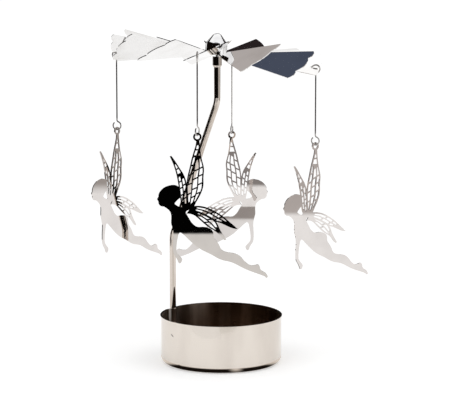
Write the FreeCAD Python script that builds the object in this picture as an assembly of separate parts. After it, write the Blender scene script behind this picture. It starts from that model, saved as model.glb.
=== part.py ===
import FreeCAD, Part
import math
import os

# Rotary tealight carousel. A pressed cup carries a bent rod, and a needle on the rod carries
# a twelve-bladed rotor with four hanging fairies. Lengths are in millimetres, +Z is up, the
# photograph looks along +Y, and the origin is the centre of the cup's underside.

Vector = FreeCAD.Vector
UP = Vector(0, 0, 1)
DOWN = Vector(0, 0, -1)
OVERRUN = 2.0
TOUCH = 0.02
STRAIGHT = 1e-3

# Cup: thin sheet, with an upright groove pressed in from outside for the rod
cup_diameter = 60.0
cup_height = 23.5
cup_sheet = 0.5
cup_corner_radius = 3.0
lip_reach = 0.3
lip_height = 0.7
lip_play = 0.2
groove_depth = 2.55
groove_radius = 2.6
groove_flank_angle = 44.0
groove_shoulder_radius = 3.8

# Rod: stands in the groove, leans back to the middle and ends upright
rod_diameter = 3.2
rod_bearing = 147.0
rod_reach = 26.8
rod_foot_height = 1.0
lower_bend_height = 60.8
upper_bend_below_pivot = 32.4
bend_radius = 11.0
collar_diameter = 4.6
collar_height = 5.2
collar_taper = 0.9
collar_below_pivot = 10.0
collar_socket_depth = 3.0

# Needle and the bearing that runs on it
needle_diameter = 1.5
needle_point_length = 2.6
needle_point_radius = 0.1
pivot_height = 161.8
pivot_clearance = 0.06
seat_depth = 1.2
seat_cone_radius = 1.1

# Rotor: one stamped sheet, twelve twisted blades round a flat hub
blade_count = 12
rotor_diameter = 101.8
rotor_sheet = 0.4
hub_diameter = 12.4
hub_bore = 6.4
hub_tab = 0.4
pivot_above_sheet = 9.0
blade_root_radius = 9.5
neck_width = 2.0
blade_gap = 2.0
scallop_rise = 2.4
scallop_shares = (0.48, 0.76)
notch_rise_share = 0.25
side_rise_share = 0.6
first_blade_bearing = -4.3
tilt_to_right = 4.3
tilt_to_back = 5.0
blade_twists = (27.0, 36.0, 34.0, 31.0, 31.0, 37.0, 31.0, 31.0, 34.0, 31.0, 31.0, 27.5)
blade_lifts = (1.4, -0.5, -2.8, -0.3, 0.0, 3.0, 0.7, 0.7, 3.0, -0.7, 0.0, -0.7)

# Cap over the bearing
cap_diameter = 10.6
cap_sheet = 0.5
cap_height = 10.2
cap_shoulder_radius = 1.5
cap_nose_radius = 3.0
cap_cone_angle = 38.0
cap_flange_diameter = 11.8
cap_flange_sheet = 0.4

# Hangers: thin wire with an open eye at each end
wire_diameter = 0.7
wire_side_count = 8
eye_diameter = 4.0
eye_neck_radius = 1.0
eye_wrap = 300.0
hanger_length = 35.1
hanger_holes = (0, 3, 6, 9)
hole_diameter = 2.0
hole_offset_share = -0.43
strip_width = 2.1
eye_play = 0.47
low_eye_bearings = (65.0, -25.0, 255.0, -15.0)

# Fairies: one flat openwork sheet, hung by a loop at the tip of the tall wing
fairy_drop = 66.6
fairy_sheet = 0.5
loop_diameter = 4.0
loop_bore = 2.2
wing_edge = 0.68
wing_rib = 0.62
cell_slant = 0.018
outline_tolerance = 0.1
fairy_bearings = (0.0, 34.0, 169.0, 50.5)
wire_play = 0.12


def polar(radius, degrees):
    """A point in plan, with the bearing counted from +X towards +Y."""
    angle = math.radians(degrees)
    return Vector(radius * math.cos(angle), radius * math.sin(angle), 0)


def turned(shape, pivot, axis, degrees):
    copy = shape.copy()
    copy.rotate(pivot, axis, degrees)
    return copy


def moved(shape, offset):
    copy = shape.copy()
    copy.translate(offset)
    return copy


def line(start, end):
    return Part.LineSegment(start, end).toShape()


def arc(start, middle, end):
    return Part.Arc(start, middle, end).toShape()


def prism(wire, height):
    return Part.Face(wire).extrude(Vector(0, 0, height))


def one_solid(shape):
    return shape.Solids[0] if len(shape.Solids) == 1 else shape


def fused(shapes):
    return one_solid(shapes[0].multiFuse(shapes[1:]).removeSplitter())


# Cup

def cup_plan(inset):
    """The cup's outline in plan, inset by one distance all round. The groove lies on +X."""
    wall = cup_diameter / 2 - inset
    shoulder = groove_shoulder_radius - inset
    bottom = groove_radius + inset
    centre = cup_diameter / 2 - groove_depth + groove_radius
    flank = math.radians(groove_flank_angle)
    # The flank's line, as the outward normal of the groove and its distance from the centre
    normal = Vector(math.cos(flank), math.sin(flank), 0)
    reach = cup_diameter / 2 - groove_shoulder_radius
    away = groove_radius + groove_shoulder_radius
    # The shoulder's centre is one reach from the middle and one shoulder radius off the flank
    foot = Vector(centre, 0, 0) + Vector(-normal.x, normal.y, 0) * away
    along = Vector(normal.y, normal.x, 0)
    b = foot.dot(along)
    c = foot.dot(foot) - reach * reach
    centre_up = foot + along * (-b + math.sqrt(b * b - c))
    outward = Vector(centre_up).normalize()
    to_flank = Vector(normal.x, -normal.y, 0)
    wall_end = outward * wall
    shoulder_end = centre_up + to_flank * shoulder
    mid_direction = (outward + to_flank).normalize()
    shoulder_mid = centre_up + mid_direction * shoulder
    bottom_end = Vector(centre, 0, 0) - to_flank * bottom
    bottom_mid = Vector(centre - bottom, 0, 0)

    def mirrored(point):
        return Vector(point.x, -point.y, 0)

    return Part.Wire([
        arc(wall_end, Vector(-wall, 0, 0), mirrored(wall_end)),
        arc(mirrored(wall_end), mirrored(shoulder_mid), mirrored(shoulder_end)),
        line(mirrored(shoulder_end), mirrored(bottom_end)),
        arc(mirrored(bottom_end), bottom_mid, bottom_end),
        line(bottom_end, shoulder_end),
        arc(shoulder_end, shoulder_mid, wall_end),
    ])


def bottom_rounded(solid, height, radius):
    edges = [e for e in solid.Edges if abs(e.BoundBox.ZMax - height) < TOUCH]
    return solid.makeFillet(radius, edges)


def make_cup():
    shell = bottom_rounded(prism(cup_plan(0), cup_height), 0, cup_corner_radius)
    hollow = moved(prism(cup_plan(cup_sheet), cup_height), UP * cup_sheet)
    hollow = bottom_rounded(hollow, cup_sheet, cup_corner_radius - cup_sheet)
    # The rim's bead stops on both sides of the rod
    lip_bottom = cup_height - lip_height
    width = rod_diameter + 2 * lip_play
    rod_room = Part.makeBox(cup_diameter, width, lip_height + OVERRUN,
                            Vector(0, -width / 2, lip_bottom - OVERRUN / 2))
    lip = moved(prism(cup_plan(-lip_reach), lip_height), UP * lip_bottom).cut(rod_room)
    return turned(one_solid(fused([shell, lip]).cut(hollow)), Vector(), UP, rod_bearing)


# Rod, collar and needle

rod_seat_radius = cup_diameter / 2 - groove_depth + rod_diameter / 2 + TOUCH
axis_point = polar(rod_seat_radius - rod_reach, rod_bearing)
# The collar's top stays one distance below the pivot, and rod, bend and needle follow it
collar_top_height = pivot_height - collar_below_pivot
collar_bottom_height = collar_top_height - collar_height
rod_top_height = collar_bottom_height + collar_socket_depth
upper_bend_height = pivot_height - upper_bend_below_pivot
pivot = Vector(axis_point.x, axis_point.y, pivot_height)


def rounded_path(corners, radius):
    """Straight runs through the corners, joined by tangent arcs."""
    edges = []
    start = corners[0]
    for before, corner, after in zip(corners, corners[1:], corners[2:]):
        back = (before - corner).normalize()
        on = (after - corner).normalize()
        half = back.getAngle(on) / 2
        leg = radius / math.tan(half)
        inward = (back + on).normalize()
        middle = corner + inward * (radius / math.sin(half) - radius)
        edges.append(line(start, corner + back * leg))
        edges.append(arc(corner + back * leg, middle, corner + on * leg))
        start = corner + on * leg
    edges.append(line(start, corners[-1]))
    return edges


def swept(edges, section):
    return Part.Wire(edges).makePipe(Part.Face(section))


def make_rod():
    foot = polar(rod_seat_radius, rod_bearing)
    corners = [
        foot + UP * rod_foot_height,
        foot + UP * lower_bend_height,
        axis_point + UP * upper_bend_height,
        axis_point + UP * rod_top_height,
    ]
    section = Part.Wire(Part.makeCircle(rod_diameter / 2, corners[0], UP))
    return swept(rounded_path(corners, bend_radius), section)


def lathe(points, centre):
    """Turns an outline of (radius, height) points about the upright axis through centre."""
    corners = [Vector(radius, 0, height) for radius, height in points]
    face = Part.Face(Part.makePolygon(corners + corners[:1]))
    return moved(face.revolve(Vector(), UP, 360), centre)


def make_collar():
    outer = collar_diameter / 2
    rod = rod_diameter / 2
    needle = needle_diameter / 2
    low = collar_bottom_height
    return lathe([
        (rod, low),
        (outer - collar_taper / 2, low),
        (outer, low + collar_taper),
        (outer, collar_top_height),
        (needle, collar_top_height),
        (needle, rod_top_height),
        (rod, rod_top_height),
    ], axis_point)


def make_needle():
    # The blunt tip stops where the cone has grown to the tip's own radius
    tip = pivot_height - needle_point_radius * seat_depth / seat_cone_radius - pivot_clearance
    return lathe([
        (0, rod_top_height),
        (needle_diameter / 2, rod_top_height),
        (needle_diameter / 2, tip - needle_point_length),
        (needle_point_radius, tip),
        (0, tip),
    ], axis_point)


# Cap and bearing seat, drawn level with the pivot as their origin

def cap_profile(inset, base):
    """The cap's half outline from its base up to the axis, inset by one distance."""
    cone = math.radians(cap_cone_angle)
    wall = cap_diameter / 2 - inset
    shoulder = cap_shoulder_radius - inset
    nose = cap_nose_radius - inset
    nose_centre = cap_height - pivot_above_sheet + rotor_sheet / 2 - cap_nose_radius
    run = cap_diameter / 2 - cap_shoulder_radius
    # The cone's line touches both arcs, so their centres are this far apart in height
    rise = (run * math.cos(cone) - cap_nose_radius + cap_shoulder_radius) / math.sin(cone)
    shoulder_centre = nose_centre - rise

    def on(x, z, radius, angle):
        return Vector(x + radius * math.cos(angle), 0, z + radius * math.sin(angle))

    quarter = math.pi / 2
    return [
        line(Vector(wall, 0, base), Vector(wall, 0, shoulder_centre)),
        arc(on(run, shoulder_centre, shoulder, 0), on(run, shoulder_centre, shoulder, cone / 2),
            on(run, shoulder_centre, shoulder, cone)),
        line(on(run, shoulder_centre, shoulder, cone), on(0, nose_centre, nose, cone)),
        arc(on(0, nose_centre, nose, cone), on(0, nose_centre, nose, (cone + quarter) / 2),
            on(0, nose_centre, nose, quarter)),
    ]


def cap_solid(inset, base):
    edges = cap_profile(inset, base)
    low = Vector(0, 0, base)
    top = edges[-1].Vertexes[-1].Point
    edges.append(line(top, low))
    edges.append(line(low, edges[0].Vertexes[0].Point))
    return Part.Face(Part.Wire(Part.sortEdges(edges)[0])).revolve(Vector(), UP, 360)


sheet_top = rotor_sheet / 2 - pivot_above_sheet


def make_cap():
    flange = Part.makeCylinder(cap_flange_diameter / 2, cap_flange_sheet, UP * sheet_top)
    return one_solid(fused([cap_solid(0, sheet_top), flange]).cut(cap_solid(cap_sheet, sheet_top)))


def make_seat():
    block = cap_solid(cap_sheet, sheet_top)
    width = cap_diameter
    below = Part.makeBox(width, width, pivot_above_sheet,
                         Vector(-width / 2, -width / 2, -seat_depth - pivot_above_sheet))
    # The cone is cut twice as long as the seat is deep, at the same slope, so it opens downwards
    recess = Part.makeCone(0, seat_cone_radius * 2, seat_depth * 2, Vector(), DOWN)
    return one_solid(block.cut(below).cut(recess))


# Rotor sheet, drawn level with the pivot as its origin

rotor_radius = rotor_diameter / 2
blade_half_angle = math.pi / blade_count - math.asin(blade_gap / 2 / rotor_radius)
blade_half_width = rotor_radius * math.sin(blade_half_angle)
blade_length = rotor_radius * math.cos(blade_half_angle)


def blade_outline():
    """The flat blade along +X: straight sides, and an end of three scallops."""
    notch, side_crest = scallop_shares
    root = blade_root_radius * math.tan(blade_half_angle)

    def at(width_share, rise_share):
        return Vector(blade_length + scallop_rise * rise_share, blade_half_width * width_share, 0)

    root_low = Vector(blade_root_radius, -root, 0)
    root_high = Vector(blade_root_radius, root, 0)
    low_notch = at(-notch, notch_rise_share)
    high_notch = at(notch, notch_rise_share)
    return Part.Wire([
        line(root_high, root_low),
        line(root_low, at(-1, 0)),
        arc(at(-1, 0), at(-side_crest, side_rise_share), low_notch),
        arc(low_notch, at(0, 1), high_notch),
        arc(high_notch, at(side_crest, side_rise_share), at(1, 0)),
        line(at(1, 0), root_high),
    ])


def blade_bearing(index):
    """The first blade points at the viewer, and the rest follow round the rotor."""
    return first_blade_bearing - 90 + index * 360 / blade_count


def to_arm(shape, index):
    """Turns what is drawn along +X to its blade's place, down at the sheet's level."""
    return moved(turned(shape, Vector(), UP, blade_bearing(index)), DOWN * pivot_above_sheet)


def blade_pose(shape, index):
    """Twists a blade about its own middle line, lifts its tip and turns it to its place."""
    root = Vector(hub_diameter / 2, 0, 0)
    shape = turned(shape, Vector(), Vector(1, 0, 0), blade_twists[index])
    return to_arm(turned(shape, root, Vector(0, -1, 0), blade_lifts[index]), index)


def neck_section(radius):
    half = neck_width / 2
    thick = rotor_sheet / 2
    corners = [Vector(radius, -half, -thick), Vector(radius, half, -thick),
               Vector(radius, half, thick), Vector(radius, -half, thick)]
    return Part.makePolygon(corners + corners[:1])


def make_blade(index):
    """A twisted blade with the neck that joins it to the hub's flat tab."""
    flat = moved(prism(blade_outline(), rotor_sheet), DOWN * (rotor_sheet / 2))
    if index in hanger_holes:
        hole = Part.makeCylinder(hole_diameter / 2, rotor_sheet + OVERRUN,
                                 hole_centre - UP * ((rotor_sheet + OVERRUN) / 2))
        flat = flat.cut(hole)
    start = to_arm(neck_section(tab_radius), index)
    end = blade_pose(neck_section(blade_root_radius), index)
    return [blade_pose(flat, index), Part.makeLoft([start, end], True, True)]


tab_radius = hub_diameter / 2 + hub_tab
hole_offset = blade_half_width * hole_offset_share
# The middle scallop is an arc of this sag and radius, and the strip ends on it
scallop_sag = scallop_rise * (1 - notch_rise_share)
scallop_chord = blade_half_width * scallop_shares[0]
scallop_radius = (scallop_chord ** 2 + scallop_sag ** 2) / (2 * scallop_sag)
strip_end = (blade_length + scallop_rise - scallop_radius
             + math.sqrt(scallop_radius ** 2 - hole_offset ** 2))
hole_centre = Vector(strip_end - strip_width - hole_diameter / 2, hole_offset, 0)


def make_rotor():
    hub = Part.makeCylinder(hub_diameter / 2, rotor_sheet, UP * (sheet_top - rotor_sheet))
    pieces = [hub]
    for index in range(blade_count):
        tab = Part.makeBox(tab_radius, neck_width, rotor_sheet,
                           Vector(0, -neck_width / 2, -rotor_sheet / 2))
        pieces.append(to_arm(tab, index))
        pieces += make_blade(index)
    bore = Part.makeCylinder(hub_bore / 2, rotor_sheet + OVERRUN,
                             UP * (sheet_top - rotor_sheet - OVERRUN / 2))
    return one_solid(fused(pieces).cut(bore))


def at_rest(shape):
    """Sets what is drawn about the pivot on the needle, tilted as the rotor hangs."""
    shape = turned(shape, Vector(), Vector(0, 1, 0), tilt_to_right)
    shape = turned(shape, Vector(), Vector(-1, 0, 0), tilt_to_back)
    return moved(shape, pivot)


# Hangers, drawn from the centre of the top eye with the shaft along -Z

eye_radius = eye_diameter / 2
eye_span = math.sqrt(eye_radius ** 2 + 2 * eye_neck_radius * eye_radius)


def eye_path():
    """An open eye about the origin whose shaft leaves upwards: neck first, then round."""
    join = math.atan2(eye_span, eye_neck_radius)
    neck = Vector(eye_neck_radius, 0, eye_span)
    sweep = math.radians(eye_wrap)

    def around(angle):
        return Vector(eye_radius * math.cos(angle), 0, eye_radius * math.sin(angle))

    def neck_point(angle):
        offset = Vector(math.cos(angle), 0, math.sin(angle))
        return neck + offset * eye_neck_radius

    return [
        arc(neck_point(math.pi), neck_point((math.pi * 2 + join) / 2), neck_point(math.pi + join)),
        arc(around(join), around(join - sweep / 4), around(join - sweep / 2)),
        arc(around(join - sweep / 2), around(join - sweep * 3 / 4), around(join - sweep)),
    ]


def wire_section(edge):
    """The drawn wire's section at the start of a run. It has flats, not a true circle."""
    start = edge.Vertexes[0].Point
    heading = edge.tangentAt(edge.FirstParameter)
    ring = Part.makeCircle(wire_diameter / 2, start, heading)
    corners = ring.discretize(wire_side_count + 1)
    return Part.makePolygon(corners)


def make_hanger(index):
    low = [moved(turned(e, Vector(), UP, low_eye_bearings[index]), DOWN * hanger_length)
           for e in eye_path()]
    spin = blade_bearing(hanger_holes[index])
    top = [turned(turned(e, Vector(), Vector(1, 0, 0), 180), Vector(), UP, spin)
           for e in eye_path()]
    shaft = line(Vector(0, 0, -eye_span), Vector(0, 0, eye_span - hanger_length))
    shapes = [swept(run, wire_section(run[0])) for run in ([shaft], top, low)]
    return moved(fused(shapes), eye_centre(index))


def eye_centre(index):
    """The centre of a hanger's top eye, which hangs on the strip between hole and blade end."""
    blade = hanger_holes[index]
    strip = Part.Vertex(strip_end - strip_width / 2, hole_offset, 0)
    point = at_rest(blade_pose(strip, blade)).Point
    inner = eye_radius - wire_diameter / 2
    thick = rotor_sheet / 2 / math.cos(math.radians(blade_twists[blade]))
    drop = math.sqrt(inner ** 2 - (strip_width / 2) ** 2) - thick - eye_play
    return point + DOWN * drop


# Fairies, drawn upright in the XZ plane about the centre of the hanging loop

front_shares = (
    (-0.125, -0.435), (-0.108, -0.399), (-0.119, -0.365), (-0.150, -0.345), (-0.180, -0.341),
    (-0.215, -0.351), (-0.248, -0.369), (-0.269, -0.399), (-0.275, -0.425),
)
face_shares = (
    (-0.275, -0.425), (-0.284, -0.444), (-0.276, -0.456), (-0.275, -0.471), (-0.264, -0.488),
    (-0.239, -0.494),
)
chest_shares = (
    (-0.239, -0.494), (-0.212, -0.509), (-0.192, -0.532), (-0.185, -0.571), (-0.186, -0.616),
    (-0.176, -0.652), (-0.171, -0.698), (-0.173, -0.758), (-0.171, -0.823), (-0.155, -0.854),
    (-0.138, -0.890),
)
hand_shares = ((-0.138, -0.890), (-0.123, -0.901), (-0.108, -0.874))
arm_shares = (
    (-0.108, -0.874), (-0.131, -0.845), (-0.149, -0.815), (-0.146, -0.758), (-0.137, -0.706),
    (-0.120, -0.680),
)
belly_shares = (
    (-0.120, -0.680), (-0.075, -0.718), (-0.015, -0.773), (0.044, -0.812), (0.099, -0.839),
    (0.165, -0.874), (0.225, -0.889), (0.285, -0.914), (0.353, -0.949), (0.438, -0.980),
    (0.485, -1.005),
)
toe_shares = ((0.485, -1.005), (0.494, -1.005), (0.497, -0.997))
foot_shares = ((0.497, -0.997), (0.479, -0.968), (0.450, -0.949), (0.440, -0.922), (0.422, -0.908))
leg_shares = (
    (0.422, -0.908), (0.383, -0.916), (0.351, -0.901), (0.311, -0.859), (0.260, -0.829),
    (0.201, -0.818), (0.173, -0.800), (0.140, -0.748), (0.114, -0.709), (0.110, -0.676),
    (0.081, -0.649), (0.036, -0.640), (-0.008, -0.637), (-0.042, -0.604), (-0.078, -0.547),
)
shoulder_shares = (
    (-0.078, -0.547), (-0.070, -0.522), (-0.036, -0.508), (-0.050, -0.492), (-0.080, -0.492),
    (-0.113, -0.498), (-0.141, -0.490), (-0.162, -0.474),
)
nape_shares = ((-0.162, -0.474), (-0.145, -0.452), (-0.125, -0.435))

# Each wing is two edges from root to tip, with the cells' columns and their ends as shares
tall_wing = {
    "near_shares": ((-0.071, -0.505), (-0.075, -0.428), (-0.078, -0.357), (-0.072, -0.288),
                    (-0.054, -0.216), (-0.036, -0.138), (-0.017, -0.078), (-0.008, -0.020)),
    "far_shares": ((-0.026, -0.502), (0.009, -0.429), (0.039, -0.360), (0.042, -0.285),
                   (0.047, -0.222), (0.030, -0.149), (0.020, -0.080), (0.014, -0.020)),
    "column_shares": (0, 0.34, 0.67, 1),
    "cell_shares": ((0.06, 0.19, 0.33, 0.47, 0.60, 0.71), (0.05, 0.15, 0.27, 0.41, 0.54, 0.68),
                    (0.08, 0.21, 0.34, 0.46, 0.58, 0.71)),
}
tall_tip = {
    "near_shares": tall_wing["near_shares"][4:],
    "far_shares": tall_wing["far_shares"][4:],
    "column_shares": (0, 1),
    "cell_shares": ((0.37, 0.60, 0.80),),
}
side_wing = {
    "near_shares": ((-0.108, -0.505), (-0.123, -0.428), (-0.132, -0.359), (-0.140, -0.303),
                    (-0.152, -0.249), (-0.171, -0.191), (-0.194, -0.138)),
    "far_shares": ((-0.066, -0.505), (-0.070, -0.428), (-0.073, -0.357), (-0.088, -0.285),
                   (-0.117, -0.233), (-0.149, -0.182), (-0.183, -0.134)),
    "column_shares": (0, 0.5, 1),
    "cell_shares": ((0.08, 0.20, 0.32, 0.44, 0.55), (0.06, 0.16, 0.27, 0.38, 0.50)),
}
side_tip = {
    "near_shares": side_wing["near_shares"][3:],
    "far_shares": side_wing["far_shares"][3:],
    "column_shares": (0, 1),
    "cell_shares": ((0.20, 0.42, 0.64),),
}
long_wing = {
    "near_shares": ((-0.060, -0.522), (-0.012, -0.532), (0.048, -0.556), (0.099, -0.584),
                    (0.131, -0.603), (0.165, -0.613), (0.216, -0.637), (0.275, -0.655)),
    "far_shares": ((-0.045, -0.497), (0.015, -0.491), (0.083, -0.508), (0.149, -0.544),
                   (0.180, -0.564), (0.207, -0.587), (0.254, -0.628), (0.284, -0.649)),
    "column_shares": (0, 0.5, 1),
    "cell_shares": ((0.11, 0.30, 0.50, 0.70), (0.11, 0.36, 0.56, 0.76)),
}
short_wing = {
    "near_shares": ((-0.078, -0.545), (-0.042, -0.550), (-0.009, -0.568), (0.024, -0.595),
                    (0.065, -0.632), (0.105, -0.661), (0.140, -0.682), (0.165, -0.711),
                    (0.194, -0.736)),
    "far_shares": ((-0.058, -0.516), (-0.010, -0.526), (0.050, -0.550), (0.102, -0.578),
                   (0.131, -0.601), (0.153, -0.644), (0.166, -0.672), (0.176, -0.686),
                   (0.203, -0.731)),
    "column_shares": (0, 0.5, 1),
    "cell_shares": ((0.22, 0.44, 0.68), (0.17, 0.40, 0.62)),
}


def on_fairy(share):
    return Vector(share[0] * fairy_drop, 0, share[1] * fairy_drop)


def curve_through(shares):
    curve = Part.BSplineCurve()
    steps = [float(n) for n in range(len(shares))]
    curve.interpolate(Points=[on_fairy(s) for s in shares], Parameters=steps)
    return curve


def arcs_along(curve):
    """The curve as tangent arcs, the way a cutting die follows it."""
    return [piece.toShape() for piece in curve.toBiArcs(outline_tolerance)]


def figure_face():
    runs = (front_shares, face_shares, chest_shares, hand_shares, arm_shares, belly_shares,
            toe_shares, foot_shares, leg_shares, shoulder_shares, nape_shares)
    edges = []
    for run in runs:
        edges += arcs_along(curve_through(run))
    return Part.Face(Part.Wire(edges))


def inset_corner(before, corner, after, gap_before, gap_after):
    """Where two sides of an outline meet once each has moved inwards by its own gap."""
    a = (corner - before).normalize()
    b = (after - corner).normalize()
    inward_a = Vector(-a.z, 0, a.x)
    inward_b = Vector(-b.z, 0, b.x)
    turn = a.z * b.x - a.x * b.z
    if abs(turn) < STRAIGHT:
        return corner + inward_a * gap_before
    offset = inward_a * gap_before - inward_b * gap_after
    step = (offset.x * b.z - offset.z * b.x) / turn
    return corner + inward_a * gap_before + a * step


def cell_face(near, far, columns, low, high):
    """One opening of a wing, between two columns' lines and two stations along the wing."""
    left, right = columns
    last = near.LastParameter

    def spot(station, share):
        start = near.value(station * last)
        return start + (far.value(station * last) - start) * share

    # The ends slant, as veins do in an insect's wing
    middle = (low + high) / 2
    corners = [spot(low - cell_slant, left), spot(low + cell_slant, right), spot(middle, right),
               spot(high + cell_slant, right), spot(high - cell_slant, left), spot(middle, left)]
    rib = wing_rib / 2
    left_gap = wing_edge if left == 0 else rib
    right_gap = wing_edge if right == 1 else rib
    gaps = [rib, right_gap, right_gap, rib, left_gap, left_gap]
    normal = (corners[1] - corners[0]).cross(corners[4] - corners[0])
    if normal.y > 0:
        corners = [corners[0]] + corners[:0:-1]
        gaps = gaps[::-1]
    count = len(corners)
    inner = [inset_corner(corners[n - 1], corners[n], corners[(n + 1) % count],
                          gaps[n - 1], gaps[n]) for n in range(count)]
    return Part.Face(Part.makePolygon(inner + inner[:1]))


def wing_outline(wing):
    near = curve_through(wing["near_shares"])
    far = curve_through(wing["far_shares"])
    tip = line(near.value(near.LastParameter), far.value(far.LastParameter))
    root = line(far.value(far.FirstParameter), near.value(near.FirstParameter))
    return Part.Face(Part.Wire(arcs_along(near) + [tip] + arcs_along(far)[::-1] + [root]))


def wing_cells(wing):
    near = curve_through(wing["near_shares"])
    far = curve_through(wing["far_shares"])
    columns = list(zip(wing["column_shares"], wing["column_shares"][1:]))
    cells = []
    for column, ends in zip(columns, wing["cell_shares"]):
        for low, high in zip(ends, ends[1:]):
            cells.append(cell_face(near, far, column, low, high))
    return cells


def make_fairy_blank():
    thickness = Vector(0, fairy_sheet, 0)
    wings = (tall_wing, side_wing, long_wing, short_wing)
    cells = []
    for wing in wings + (tall_tip, side_tip):
        cells += wing_cells(wing)
    loop = Part.Face(Part.Wire(Part.makeCircle(loop_diameter / 2, Vector(), Vector(0, 1, 0))))
    bore = Part.Face(Part.Wire(Part.makeCircle(loop_bore / 2, Vector(), Vector(0, 1, 0))))
    sheets = [figure_face(), loop] + [wing_outline(wing) for wing in wings]
    blank = fused([sheet.extrude(thickness) for sheet in sheets])
    # Each opening starts one thickness before the sheet and ends one thickness behind it
    openings = [moved(cell, -thickness).extrude(thickness * 3) for cell in cells + [bore]]
    blank = blank.cut(openings)
    return moved(one_solid(blank.removeSplitter()), -thickness / 2)


# The loop hangs on the low eye's wire, and the sheet's weight hangs below that wire
wire_in_loop = loop_bore / 2 - wire_diameter / 2 - wire_play


def hung_plumb(blank):
    """Turns the sheet in its own plane until its centre of mass is below the wire."""
    wire = Vector(0, 0, wire_in_loop)
    weight = blank.CenterOfMass - wire
    return turned(blank, wire, Vector(0, 1, 0), math.degrees(math.atan2(weight.x, -weight.z)))


def loop_centre(index):
    low_eye = eye_centre(index) + DOWN * hanger_length
    return low_eye + DOWN * (eye_radius + wire_in_loop)


def make_fairy(blank, index):
    return moved(turned(blank, Vector(), UP, fairy_bearings[index]), loop_centre(index))


def main():
    os.makedirs("parts", exist_ok=True)
    solids = {
        "cup": make_cup(),
        "rod": make_rod(),
        "collar": make_collar(),
        "needle": make_needle(),
        "rotor": at_rest(make_rotor()),
        "cap": at_rest(make_cap()),
        "bearing_seat": at_rest(make_seat()),
    }
    blank = hung_plumb(make_fairy_blank())
    for index in range(len(hanger_holes)):
        solids["hanger_%d" % (index + 1)] = make_hanger(index)
        solids["fairy_%d" % (index + 1)] = make_fairy(blank, index)
    for name, solid in solids.items():
        solid.exportStep("parts/%s.step" % name)
        print(name, len(solid.Solids), solid.isValid(), round(solid.Volume, 2))


main()
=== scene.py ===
# %% [markdown]
# # A tealight carousel in polished steel
# The carousel comes in as a finished CAD model in metres: a pressed cup, a bent rod, a rotor of
# twelve twisted blades and four flat fairies on wire hangers. Its shapes are right as they are,
# so this lesson gives it what a CAD model lacks: real finishes, a studio and a camera.

# %% Load the frame
import math
import bmesh
import bpy
from mathutils import Euler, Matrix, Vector

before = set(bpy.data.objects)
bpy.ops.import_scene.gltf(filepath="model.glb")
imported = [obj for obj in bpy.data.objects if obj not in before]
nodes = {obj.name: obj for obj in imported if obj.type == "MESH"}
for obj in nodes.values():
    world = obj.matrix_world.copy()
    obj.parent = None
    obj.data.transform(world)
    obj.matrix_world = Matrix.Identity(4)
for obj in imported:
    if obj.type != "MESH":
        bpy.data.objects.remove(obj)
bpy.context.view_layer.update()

# %% [markdown]
# The photograph was taken from about a metre away, a little above the rotor, with a long lens.
# A camera can be placed by eye, but here it was fitted to the cup's rim, the blades' corners and
# the hanging loops, so the numbers below are measured. The lens is its distance to the picture in
# pixels, turned into the millimetres of a 36 mm sensor.

# %% Camera
PHOTO_WIDTH = 450
FOCUS_PIXELS = 2049.5
SENSOR = 36.0
PITCH = 8.611
CAMERA_PLACE = (0.001917, -1.0, 0.2324)

camera_data = bpy.data.cameras.new("camera")
camera_data.sensor_width = SENSOR
camera_data.lens = FOCUS_PIXELS / PHOTO_WIDTH * SENSOR
camera = bpy.data.objects.new("camera", camera_data)
camera.location = CAMERA_PLACE
camera.rotation_euler = (math.radians(90 - PITCH), 0, 0)
bpy.context.scene.collection.objects.link(camera)
bpy.context.scene.camera = camera
bpy.context.scene.view_settings.view_transform = "Standard"
print("lens:", round(camera_data.lens, 2), "mm")

# %% [markdown]
# Colours are written as the hex values that a colour picker shows. Blender calculates in linear
# light, so one function turns a hex value into linear numbers. The next one adds a node, with its
# settings and with a value or a link for each socket. The short ones after it make the steps that
# come up in nearly every material here.

# %% Helpers for colours and nodes
def linear(hex_colour):
    """An sRGB hex colour as linear red, green, blue and a full alpha."""
    channels = [int(hex_colour[n:n + 2], 16) / 255 for n in (1, 3, 5)]
    return [c / 12.92 if c <= 0.04045 else ((c + 0.055) / 1.055) ** 2.4 for c in channels] + [1]


def add(tree, kind, sockets, **settings):
    """Adds a node. Each entry of sockets is a value, or another node's output to link."""
    node = tree.nodes.new(kind)
    for name, value in settings.items():
        setattr(node, name, value)
    for name, value in sockets.items():
        if isinstance(value, bpy.types.NodeSocket):
            tree.links.new(value, node.inputs[name])
        else:
            node.inputs[name].default_value = value
    return node


def place_on_piece(tree):
    """Where a point lies in its piece's own coordinates, in metres."""
    return add(tree, "ShaderNodeTexCoord", {}).outputs["Object"]


def calculate(tree, operation, first, second=0.0):
    """One step of arithmetic with numbers."""
    return add(tree, "ShaderNodeMath", {0: first, 1: second}, operation=operation).outputs[0]


def measure(tree, operation, first, second=(0, 0, 0)):
    """A length, a distance or a dot product of vectors, as one number."""
    return add(tree, "ShaderNodeVectorMath", {0: first, 1: second},
               operation=operation).outputs["Value"]


def soft_ramp(tree, value, start, end, low=0.0, high=1.0):
    """Goes softly from low, where the value is start, to high, where it is end."""
    return add(tree, "ShaderNodeMapRange", {"Value": value, "From Min": start, "From Max": end,
                                            "To Min": low, "To Max": high},
               interpolation_type="SMOOTHSTEP").outputs[0]


# A Mix node has sockets for several kinds of data, and these are the numbers of its colours
FIRST_COLOUR, SECOND_COLOUR, MIXED_COLOUR = 6, 7, 2


def mix_colours(tree, share, first, second):
    """The first colour where the share is 0, and the second where it is 1."""
    return add(tree, "ShaderNodeMix", {"Factor": share, FIRST_COLOUR: first,
                                       SECOND_COLOUR: second},
               data_type="RGBA").outputs[MIXED_COLOUR]


def mix_surfaces(tree, share, first, second):
    """The first surface where the share is 0, and the second where it is 1."""
    return add(tree, "ShaderNodeMixShader", {0: share, 1: first, 2: second}).outputs[0]


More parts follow.
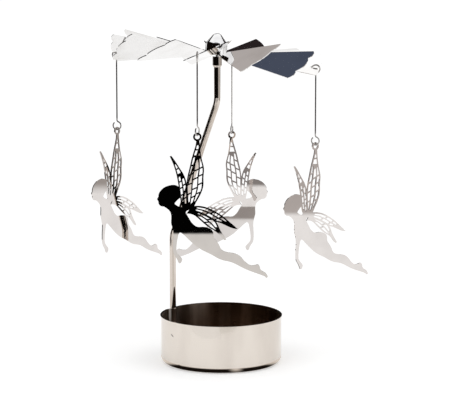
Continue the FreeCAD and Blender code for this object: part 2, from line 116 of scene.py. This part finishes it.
def new_material(name):
    """An empty material and its node tree."""
    material = bpy.data.materials.new(name)
    material.use_nodes = True
    material.node_tree.nodes.clear()
    return material, material.node_tree


print("white is", linear("#FFFFFF"))

# %% [markdown]
# Polished metal has almost no colour of its own: it shows the room. The room here is white, so
# the world gives white to the camera and to reflections, and a softer light to dull surfaces, so
# that the floor doesn't burn out. Light Path tells the rays apart. Cycles may also aim extra rays
# at the world, and these pass through cards that throw no shadow and speckle what the metal
# mirrors of them. A plain white world needs no aimed rays, so they are switched off.

# %% World
SOFT_LIGHT = 0.7

world = bpy.data.worlds.new("white studio")
world.use_nodes = True
world.node_tree.nodes.clear()
world.cycles.sampling_method = "NONE"
bpy.context.scene.world = world


def seen_or_mirrored(tree):
    """1 for a ray from the camera or from a mirror or glass, 0 for soft light."""
    path = add(tree, "ShaderNodeLightPath", {})
    seen = calculate(tree, "MAXIMUM", path.outputs["Is Camera Ray"],
                     path.outputs["Is Glossy Ray"])
    return calculate(tree, "MAXIMUM", seen, path.outputs["Is Transmission Ray"])


tree = world.node_tree
strength = add(tree, "ShaderNodeMapRange", {"Value": seen_or_mirrored(tree),
                                            "To Min": SOFT_LIGHT, "To Max": 1.0})
sky = add(tree, "ShaderNodeBackground", {"Color": linear("#FFFFFF"),
                                         "Strength": strength.outputs[0]})
add(tree, "ShaderNodeOutputWorld", {"Surface": sky.outputs[0]})
print("world:", world.name)

# %% [markdown]
# The floor is a sheet of white board. A small glow that only the camera and mirrors see lifts it
# to the white of the photograph's background. The object's soft shadow stays, because the
# board's dull part still takes its light from the lamps. Far away the lamps give little light, so
# there the glow is stronger.

# %% Floor
FLOOR_SIZE = 12.0
FLOOR_GLOW = 0.28
FAR_GLOW = 0.40
GLOW_GROWS_FROM = 0.5
GLOW_GROWS_TO = 2.0
MOTTLES_PER_METRE = 3.0


def flat_sheet(name, width, length):
    """A flat square-cornered sheet about the origin, as a new object."""
    mesh = bpy.data.meshes.new(name)
    sheet = bmesh.new()
    bmesh.ops.create_grid(sheet, x_segments=1, y_segments=1, size=0.5)
    bmesh.ops.scale(sheet, vec=(width, length, 1), verts=sheet.verts)
    sheet.to_mesh(mesh)
    sheet.free()
    piece = bpy.data.objects.new(name, mesh)
    bpy.context.scene.collection.objects.link(piece)
    return piece


floor = flat_sheet("floor", FLOOR_SIZE, FLOOR_SIZE)
board, tree = new_material("matt white board")
place = place_on_piece(tree)
mottle = add(tree, "ShaderNodeTexNoise", {"Vector": place, "Scale": MOTTLES_PER_METRE})
tone = mix_colours(tree, mottle.outputs["Fac"], linear("#F4F4F4"), linear("#F7F7F7"))
dull = add(tree, "ShaderNodeBsdfDiffuse", {"Color": tone})
level = add(tree, "ShaderNodeMapRange", {"Value": measure(tree, "LENGTH", place),
                                         "From Min": GLOW_GROWS_FROM, "From Max": GLOW_GROWS_TO,
                                         "To Min": FLOOR_GLOW, "To Max": FAR_GLOW})
glow_strength = calculate(tree, "MULTIPLY", seen_or_mirrored(tree), level.outputs[0])
glow = add(tree, "ShaderNodeEmission", {"Strength": glow_strength})
both = add(tree, "ShaderNodeAddShader", {0: dull.outputs[0], 1: glow.outputs[0]})
add(tree, "ShaderNodeOutputMaterial", {"Surface": both.outputs[0]})
floor.data.materials.append(board)
print("floor:", FLOOR_SIZE, "m")

# %% [markdown]
# Two large soft boxes light the floor and give it a faint shadow. A lamp's power grows with the
# square of its distance, so the level that it should give is turned into watts.

# %% Lamps
BOX_SIZE = 1.2
LAMPS_AIM_AT = (0, 0, 0.08)


def soft_box(name, place_at, level):
    """A square lamp aimed at the object. Level 1 lights white paper to full white."""
    lamp = bpy.data.lights.new(name, "AREA")
    lamp.size = BOX_SIZE
    heading = Vector(LAMPS_AIM_AT) - Vector(place_at)
    lamp.energy = level * math.pi ** 2 * heading.length ** 2
    box = bpy.data.objects.new(name, lamp)
    box.location = place_at
    box.rotation_euler = heading.to_track_quat("-Z", "Y").to_euler()
    box.visible_glossy = False
    bpy.context.scene.collection.objects.link(box)
    return box


for name, place_at, level in (("key box", (-0.9, -0.9, 1.5), 0.16),
                              ("fill box", (1.0, -0.5, 1.4), 0.12)):
    print(soft_box(name, place_at, level).name)

# %% [markdown]
# In an all-white room polished steel would vanish, so a photographer hangs dark and grey cards
# round the object. Each card below stands where one part of the object mirrors it. Only
# reflections see a card: it throws no shadow and the camera doesn't see it. A card's level is its
# brightness. The blade at the far right mirrors a lamp rather than the room, so its card is
# whiter than white.

# %% Cards that only reflections see
ROTOR_CENTRE = (0, 0, 0.155)
CARD_DISTANCE = 0.9


def finish_card(piece, material, colour, level=1.0):
    """Gives a card its glow and hides it from all but reflections."""
    tree = material.node_tree
    glow = add(tree, "ShaderNodeEmission", {"Color": colour, "Strength": level})
    add(tree, "ShaderNodeOutputMaterial", {"Surface": glow.outputs[0]})
    piece.data.materials.append(material)
    piece.visible_camera = False
    piece.visible_diffuse = False
    piece.visible_transmission = False
    piece.visible_volume_scatter = False
    piece.visible_shadow = False
    return piece


def card(name, place_at, size, colour, facing, level=1.0):
    """A plain card of one colour that faces a point near the object."""
    piece = flat_sheet(name, *size)
    heading = Vector(facing) - Vector(place_at)
    piece.rotation_euler = heading.to_track_quat("Z", "Y").to_euler()
    piece.location = place_at
    material, tree = new_material("card " + name)
    return finish_card(piece, material, linear(colour), level)


def round_the_rotor(bearing, height):
    """A card's place, by its bearing from the rotor, counted from +Y towards +X, and by its
    height above the rotor's level, both in degrees."""
    a, e = math.radians(bearing), math.radians(height)
    ahead = Vector((math.sin(a) * math.cos(e), math.cos(a) * math.cos(e), math.sin(e)))
    return Vector(ROTOR_CENTRE) + ahead * CARD_DISTANCE


for name, bearing, height, size, colour, level in (
        ("grey blade", -15, 21, (0.26, 0.26), "#B7B0AD", 1.0),
        ("blue blade", -17, 51, (0.30, 0.30), "#4A5162", 1.0),
        ("black blade", 38, 27, (0.68, 0.32), "#2A2324", 1.0),
        ("dark wall behind", 0, 3, (1.40, 0.32), "#1C1918", 1.0),
        ("dark left behind", -50, 28, (0.58, 0.48), "#1C1918", 1.0),
        ("dark middle behind", 5, 28, (0.20, 0.42), "#1C1918", 1.0),
        ("dark patch above", 180, 62, (0.40, 0.20), "#15120F", 1.0),
        ("bright blade", 9, 57, (0.14, 0.20), "#FFFFFF", 1.25)):
    spot = round_the_rotor(bearing, height)
    print(card(name, spot, size, colour, ROTOR_CENTRE, level).name)

# %% [markdown]
# The rod and its collar are round, so each shows a wide slice of the room. Two upright dark
# flags, one on the left and one between the object and the camera, darken their left and middle
# and leave a bright line down the right. They stand far enough out that the low part of the rod
# still mirrors the table.

# %% Upright flags for the rod
FLAG_HEIGHT = 1.1
FLAG_COLOUR = "#0F0B09"

for name, spot, towards, width in (("left flag", (-0.80, -0.15), (0, -0.15), 1.5),
                                   ("front flag", (-0.10, -0.88), (-0.10, 0), 1.6)):
    middle = (*spot, FLAG_HEIGHT / 2)
    facing = (*towards, FLAG_HEIGHT / 2)
    print(card(name, middle, (width, FLAG_HEIGHT), FLAG_COLOUR, facing).name)

# %% [markdown]
# The fairies on the left, on the right and at the back face other ways than the front one, and
# mirror other strips of the table. Each grey mat lies where one of them mirrors it, and gives it
# the darker head or the grey band that the photograph shows. A white one keeps the back fairy's
# body bright. A mat's place follows from the fairy's place and the direction in which the
# camera's ray leaves it. Two larger mats do the same for the rod. A black one darkens the left of
# its leaning part, and is raised so that the cup doesn't mirror it from a low camera. A pale grey
# one lies lowest, for the right of the rod's top and of the collar.

# %% Mats on the table
MAT_HEIGHT = 0.0012
LOW_MAT_HEIGHT = 0.0004
RAISED_MAT_HEIGHT = 0.02


def mat(name, start, bearing, near, far, width, colour, fade, height=MAT_HEIGHT):
    """A flat card on the table, from near to far metres out from start along a bearing.
    It fades in from white over its first part, so its edge is soft."""
    piece = flat_sheet(name, width, far - near)
    turn = Euler((0, 0, -math.radians(bearing))).to_matrix()
    for vertex in piece.data.vertices:
        out = vertex.co + Vector((0, (near + far) / 2, 0))
        vertex.co = turn @ out + Vector((*start, height))
    material, tree = new_material("mat " + name)
    away = measure(tree, "DISTANCE", place_on_piece(tree), (*start, height))
    inside = soft_ramp(tree, away, near, near + fade)
    return finish_card(piece, material,
                       mix_colours(tree, inside, linear("#FFFFFF"), linear(colour)))


for settings in (("right head", (0.046, -0.009), 109, 0.46, 1.3, 0.5, "#C9C3C0", 0.02),
                 ("left head", (-0.051, 0.009), 82, 0.555, 1.3, 0.5, "#B0AAA6", 0.06),
                 ("back body", (0.006, 0.048), -158, 0.150, 0.379, 0.11, "#FFFFFF", 0.01),
                 ("back band", (0.006, 0.048), -158, 0.380, 0.445, 0.11, "#ABA5A2", 0.015),
                 ("back wings", (0.006, 0.048), -158, 0.545, 1.3, 0.11, "#96918F", 0.02),
                 ("leaning rod", (-0.0126, 0.008), -110, 0.207, 0.695, 0.40, "#0F0B09", 0.01,
                  RAISED_MAT_HEIGHT),
                 ("rod top", (0, 0), 90, 0.85, 3.2, 3.4, "#D4D2D0", 0.05, LOW_MAT_HEIGHT)):
    print(mat(*settings).name)

# %% [markdown]
# The table in front of the object ends about half a metre away, and beyond it the room is dark.
# The flat fairies mirror just that edge. One card lies on the floor there, and a colour ramp
# along its length gives the soft step from the warm pale table to the dark.

# %% The table's edge, as the fairies mirror it
TABLE_NEAR = -0.12
TABLE_EDGE = -0.473
TABLE_FAR = -1.55
TABLE_WIDTH = 0.28
TABLE_CARD_HEIGHT = 0.0008
EDGE_SOFTNESS = 0.006

table = flat_sheet("table card", TABLE_WIDTH, TABLE_NEAR - TABLE_FAR)
for vertex in table.data.vertices:
    vertex.co += Vector((0, (TABLE_NEAR + TABLE_FAR) / 2, TABLE_CARD_HEIGHT))
material, tree = new_material("card table")
along = add(tree, "ShaderNodeSeparateXYZ", {0: place_on_piece(tree)})
on_table = soft_ramp(tree, along.outputs["Y"], TABLE_EDGE - EDGE_SOFTNESS,
                     TABLE_EDGE + EDGE_SOFTNESS)
finish_card(table, material, mix_colours(tree, on_table, linear("#030303"), linear("#EEEDEA")))
print("table card:", TABLE_NEAR, "to", TABLE_FAR, "m")

# %% [markdown]
# Where the cup stands, the table right under its rounded corner lies in the cup's shadow, and the
# corner mirrors that as a thin black band. A dark ring on the floor that only reflections see
# gives it, as a painted shadow. A short light piece across the ring gives a painted glint at the
# front, and the ring fades out at its two sides, as the band does in the photograph. The ring is
# too near the cup for the wall above to mirror it.

# %% Painted shadow ring round the cup's foot
RING_INNER = 0.0272
RING_OUTER = 0.0348
RING_HEIGHT = 0.0003
RING_STEPS = 96
OUTER_FADE = 0.0025
GLINT_PLACE = (0.0085, -0.0315, RING_HEIGHT)
GLINT_RADIUS = 0.0055
SIDE_FADE_START = 0.024
SIDE_FADE_END = 0.030

ring_mesh = bpy.data.meshes.new("painted shadow ring")
ring_form = bmesh.new()
inner_end = ring_form.verts.new((RING_INNER, 0, RING_HEIGHT))
outer_end = ring_form.verts.new((RING_OUTER, 0, RING_HEIGHT))
spoke = ring_form.edges.new((inner_end, outer_end))
bmesh.ops.spin(ring_form, geom=[inner_end, outer_end, spoke], cent=(0, 0, 0), axis=(0, 0, 1),
               angle=math.tau, steps=RING_STEPS, use_merge=True)
bmesh.ops.recalc_face_normals(ring_form, faces=ring_form.faces)
ring_form.to_mesh(ring_mesh)
ring_form.free()
ring = bpy.data.objects.new("painted shadow ring", ring_mesh)
bpy.context.scene.collection.objects.link(ring)
material, tree = new_material("card painted shadow ring")
place = place_on_piece(tree)
glint = soft_ramp(tree, measure(tree, "DISTANCE", place, GLINT_PLACE), 0.0, GLINT_RADIUS,
                  low=1.0, high=0.0)
outer_fade = soft_ramp(tree, measure(tree, "LENGTH", place), RING_OUTER - OUTER_FADE, RING_OUTER)
beside = add(tree, "ShaderNodeSeparateXYZ", {0: place})
aside = calculate(tree, "ABSOLUTE", beside.outputs["X"])
side_fade = soft_ramp(tree, aside, SIDE_FADE_START, SIDE_FADE_END)
ends = calculate(tree, "MAXIMUM", outer_fade, side_fade)
light_share = calculate(tree, "MAXIMUM", glint, ends)
# Painted shadow: the dark ring is the cup's shadow on the table, and the light spot is a painted
# glint.
finish_card(ring, material, mix_colours(tree, light_share, linear("#1A1411"), linear("#EDE6DF")))
print("painted shadow ring faces:", len(ring.data.polygons))

# %% [markdown]
# All the metal here is steel or nickel that was polished on a buff. Up close a buffed surface has
# three things: fine parallel streaks, wide dull patches where fingers touched it, and a slight
# waviness of the sheet that bends reflections. One recipe makes all three from noise in the
# object's own coordinates, and each finish then gives its own colours and its own scale in
# millimetres. Real buffing lines are finer than the picture can show, so they are drawn coarser.

# %% The recipe for polished metal
MILLIMETRE = 0.001
STREAK_DETAIL = 3.0
PATCH_START = 0.45
PATCH_END = 0.75
MOST_WORN = 1.5
LINE_STRENGTH = 0.15


def streaks(tree, spacing):
    """Noise stretched into lines: spacing gives the lines' size along x, y and z in mm."""
    per_metre = [1 / (MILLIMETRE * size) for size in spacing]
    stretched = add(tree, "ShaderNodeMapping", {"Vector": place_on_piece(tree),
                                                "Scale": per_metre})
    return add(tree, "ShaderNodeTexNoise", {"Vector": stretched.outputs[0], "Scale": 1.0,
                                            "Detail": STREAK_DETAIL}).outputs["Fac"]


def polished(tree, colour, dull_colour, spacing, patch, gloss, ripple, patch_height=1.0,
             line_depth=0.005):
    """A metal surface with buffing streaks and dull patches of one size in mm. Gloss is its least
    and greatest roughness. Ripple and line depth are the heights of its waves and lines in mm."""
    lines = streaks(tree, spacing)
    patches = streaks(tree, (patch, patch, patch * patch_height))
    blotch = add(tree, "ShaderNodeMapRange", {"Value": patches, "From Min": PATCH_START,
                                              "From Max": PATCH_END}).outputs[0]
    worn = calculate(tree, "ADD", lines, blotch)
    rough = add(tree, "ShaderNodeMapRange", {"Value": worn, "From Max": MOST_WORN,
                                             "To Min": gloss[0], "To Max": gloss[1]})
    waves = streaks(tree, (patch / 2, patch / 2, patch / 2))
    wavy = add(tree, "ShaderNodeBump", {"Height": waves, "Distance": ripple * MILLIMETRE})
    lined = add(tree, "ShaderNodeBump", {"Height": lines, "Strength": LINE_STRENGTH,
                                         "Distance": line_depth * MILLIMETRE,
                                         "Normal": wavy.outputs[0]})
    tone = mix_colours(tree, blotch, colour, dull_colour)
    return add(tree, "ShaderNodeBsdfPrincipled", {"Base Color": tone, "Metallic": 1.0,
                                                  "Roughness": rough.outputs[0],
                                                  "Normal": lined.outputs[0]}).outputs[0]


def metal(name, colour, dull_colour, *grain, **fine_grain):
    """A finished material of polished metal, from two hex colours and polished's settings."""
    material, tree = new_material(name)
    surface = polished(tree, linear(colour), linear(dull_colour), *grain, **fine_grain)
    add(tree, "ShaderNodeOutputMaterial", {"Surface": surface})
    return material


def finish_node(node, material):
    """Gives a CAD node its finish through its material slots."""
    piece = nodes[node]
    if not piece.material_slots:
        piece.data.materials.append(material)
    for slot in piece.material_slots:
        slot.material = material
    print(node, "->", material.name)


# %% [markdown]
# The rod is cold-drawn steel bar, buffed before it was bent. Drawing leaves streaks that run
# along it, so the noise is long along the height and fine across it.

# %% Rod
finish_node("rod", metal("buffed drawn steel bar", "#D2C8BF", "#BDB1A6", (0.5, 0.5, 14), 9,
                         (0.02, 0.04), 0.002, line_depth=0.0008))

# %% [markdown]
# The collar was turned on a lathe, so its lines run round it: fine along the height and long
# across. They catch the light as thin rings.

# %% Collar
finish_node("collar", metal("turned and polished steel", "#CDC4BB", "#B3A99F", (6, 6, 0.3), 5,
                            (0.03, 0.06), 0.002, line_depth=0.001))

# %% [markdown]
# The needle and the seat that runs on its point are hard ground steel. Grinding leaves a finer
# and duller surface than buffing, so these two are greyer than the rest.

# %% Needle and bearing seat
ground = metal("ground needle steel", "#C4C2C0", "#A29E9A", (0.3, 0.3, 3), 4, (0.18, 0.30), 0.004)
for node in ("needle", "bearing_seat"):
    finish_node(node, ground)

# %% [markdown]
# The cap is a pressed dome with bright nickel plating. Plating smooths out the buffing lines, so
# it has hardly any streaks and only a little waviness from the press.

# %% Cap
finish_node("cap", metal("bright nickel plate on a pressed cap", "#F8F8F8", "#E4E4E6",
                         (3, 3, 3), 4, (0.03, 0.07), 0.012))

# %% [markdown]
# The rotor is stamped from thin sheet with a mirror finish, which keeps the mill's rolling lines
# as a faint grain in one direction. The sheet isn't quite flat after stamping, so what it
# mirrors bends a little from place to place.

# %% Rotor
finish_node("rotor", metal("mirror-polished stamped steel sheet", "#ECEBEA", "#DFDDDB",
                           (0.6, 16, 5), 14, (0.03, 0.07), 0.006, line_depth=0.001))

# %% [markdown]
# The fairies are etched from a sheet of the same kind, which no press has bent. They stay almost
# as flat as a mirror, so each shows one plain patch of the table, with a sharp step where that
# patch ends. Their ripple and grain are the smallest of all. The four share one material.

# %% Fairies
FIGURES = range(1, 5)

mirror_sheet = metal("mirror-polished etched steel sheet", "#DBD6D3", "#D2CDCA", (9, 9, 0.5), 11,
                     (0.008, 0.02), 0.001, line_depth=0.0005)
for number in FIGURES:
    finish_node("fairy_%d" % number, mirror_sheet)

# %% [markdown]
# The hangers are drawn wire. It is so thin that it shows as a dark line against white, because a
# round wire mirrors the whole room in its width. Three are given darker tones and the one at the
# back lighter ones, as the photograph shows: a painted reflection, as the wires differ only in
# what they mirror. The hooks at both ends are given a lighter tone, so the tone changes with the
# distance from the wire's middle.

# %% Hangers
HOOK_LENGTH = 5 * MILLIMETRE
HOOK_FADE = 2 * MILLIMETRE
BACK_HANGER = 3
# The darker and lighter wire tones are a painted reflection. The hook tones are lighter.
DARK_REFLECTION_TONES, BRIGHT_REFLECTION_TONES = ("#605D5B", "#444140"), ("#CFCBC8", "#B2AEAB")
HOOK_TONES = ("#B9B6B3", "#96928F")

for number in FIGURES:
    node = "hanger_%d" % number
    heights = [vertex.co.z for vertex in nodes[node].data.vertices]
    middle, half = (max(heights) + min(heights)) / 2, (max(heights) - min(heights)) / 2
    material, tree = new_material("drawn steel wire of hanger %d" % number)
    along = add(tree, "ShaderNodeSeparateXYZ", {0: place_on_piece(tree)})
    from_middle = calculate(tree, "SUBTRACT", along.outputs["Z"], middle)
    hook = soft_ramp(tree, calculate(tree, "ABSOLUTE", from_middle),
                     half - HOOK_LENGTH - HOOK_FADE, half - HOOK_LENGTH)
    # Painted reflection: the back wire gets the lighter tones and the others get the darker ones.
    straight = BRIGHT_REFLECTION_TONES if number == BACK_HANGER else DARK_REFLECTION_TONES
    tones = [mix_colours(tree, hook, linear(on_wire), linear(on_hook))
             for on_wire, on_hook in zip(straight, HOOK_TONES)]
    wire = polished(tree, *tones, (0.3, 0.3, 6), 3, (0.12, 0.25), 0.004)
    add(tree, "ShaderNodeOutputMaterial", {"Surface": wire})
    finish_node(node, material)

# %% [markdown]
# The cup is pressed from sheet and buffed outside, with streaks that run round it. Inside, the
# steel is dark brown, and its tall lighter patches are painted highlights. The two finishes meet
# at the rim. A surface is inside where it faces the middle of the cup, or lies on its floor and
# faces up, so its own normal tells them apart.

# %% Cup
FACES_THE_MIDDLE = -0.15
FACES_UP = 0.2
FLOOR_IS_BELOW = 12 * MILLIMETRE

cup_steel, tree = new_material("buffed pressed steel, heat-browned inside")
place = place_on_piece(tree)
surface = add(tree, "ShaderNodeNewGeometry", {})
across = add(tree, "ShaderNodeVectorMath", {0: place, 1: (1, 1, 0)}, operation="MULTIPLY")
outward = add(tree, "ShaderNodeVectorMath", {0: across.outputs[0]}, operation="NORMALIZE")
facing = measure(tree, "DOT_PRODUCT", surface.outputs["Normal"], outward.outputs[0])
height = add(tree, "ShaderNodeSeparateXYZ", {0: place})
normal = add(tree, "ShaderNodeSeparateXYZ", {0: surface.outputs["Normal"]})
wall_inside = calculate(tree, "LESS_THAN", facing, FACES_THE_MIDDLE)
low = calculate(tree, "LESS_THAN", height.outputs["Z"], FLOOR_IS_BELOW)
faces_up = calculate(tree, "GREATER_THAN", normal.outputs["Z"], FACES_UP)
floor_inside = calculate(tree, "MULTIPLY", low, faces_up)
inside = calculate(tree, "MAXIMUM", wall_inside, floor_inside)
outer = polished(tree, linear("#DED6CD"), linear("#D2C9C0"), (12, 12, 0.5), 16, (0.06, 0.12),
                 0.006, patch_height=3)
# Inside: dark brown steel, and its lighter tall patches are painted highlights.
inner = polished(tree, linear("#857161"), linear("#CDBBAD"), (10, 10, 0.5), 10, (0.24, 0.38),
                 0.02, patch_height=8, line_depth=0.002)
# A painted highlight for one line on the groove's shoulder inside.
painted_highlight = polished(tree, linear("#F2ECE6"), linear("#E4DCD4"), (10, 10, 0.5), 10, (0.5, 0.6),
                     0.02)

# The groove's shoulder stands proud inside, and one line on it is a painted highlight: light
# steel, rough rather than polished, so that it also catches the light from above.
HIGHLIGHT_LINE = (-0.0258, 0.0129, 0.0)
HIGHLIGHT_RADIUS = 0.0009
off_highlight = soft_ramp(tree, measure(tree, "DISTANCE", across.outputs[0], HIGHLIGHT_LINE),
                    HIGHLIGHT_RADIUS / 2, HIGHLIGHT_RADIUS)
inner_with_highlight = mix_surfaces(tree, off_highlight, painted_highlight, inner)
both_sides = mix_surfaces(tree, inside, outer, inner_with_highlight)

# One small ding, as the photograph shows on the front left: a short slanting stroke. It is no
# dent in the surface: its shade is painted, as a dark colour. A Mapping node of the kind TEXTURE
# moves, turns and sizes the pattern itself, in that order.
DING = (-0.0239, -0.0181, 0.0166)
DING_SLANT = 42
DING_LENGTH = 0.0016
DING_WIDTH = 0.0004
DING_CORE = 0.4
DING_DARKNESS = 0.8
slanted = add(tree, "ShaderNodeMapping", {"Vector": place, "Location": DING,
                                          "Rotation": (0, math.radians(DING_SLANT), 0),
                                          "Scale": (DING_LENGTH, DING_LENGTH, DING_WIDTH)},
              vector_type="TEXTURE")
dent_shade = soft_ramp(tree, measure(tree, "LENGTH", slanted.outputs[0]), DING_CORE, 1.0,
                 low=DING_DARKNESS, high=0.0)
# Painted shade of the ding: a dark colour, with no dent in the surface.
painted_dent_shade = polished(tree, linear("#4A4038"), linear("#5A4E46"), (12, 12, 0.5), 16, (0.2, 0.3),
                  0.012)
add(tree, "ShaderNodeOutputMaterial", {"Surface": mix_surfaces(tree, dent_shade, both_sides, painted_dent_shade)})
finish_node("cup", cup_steel)
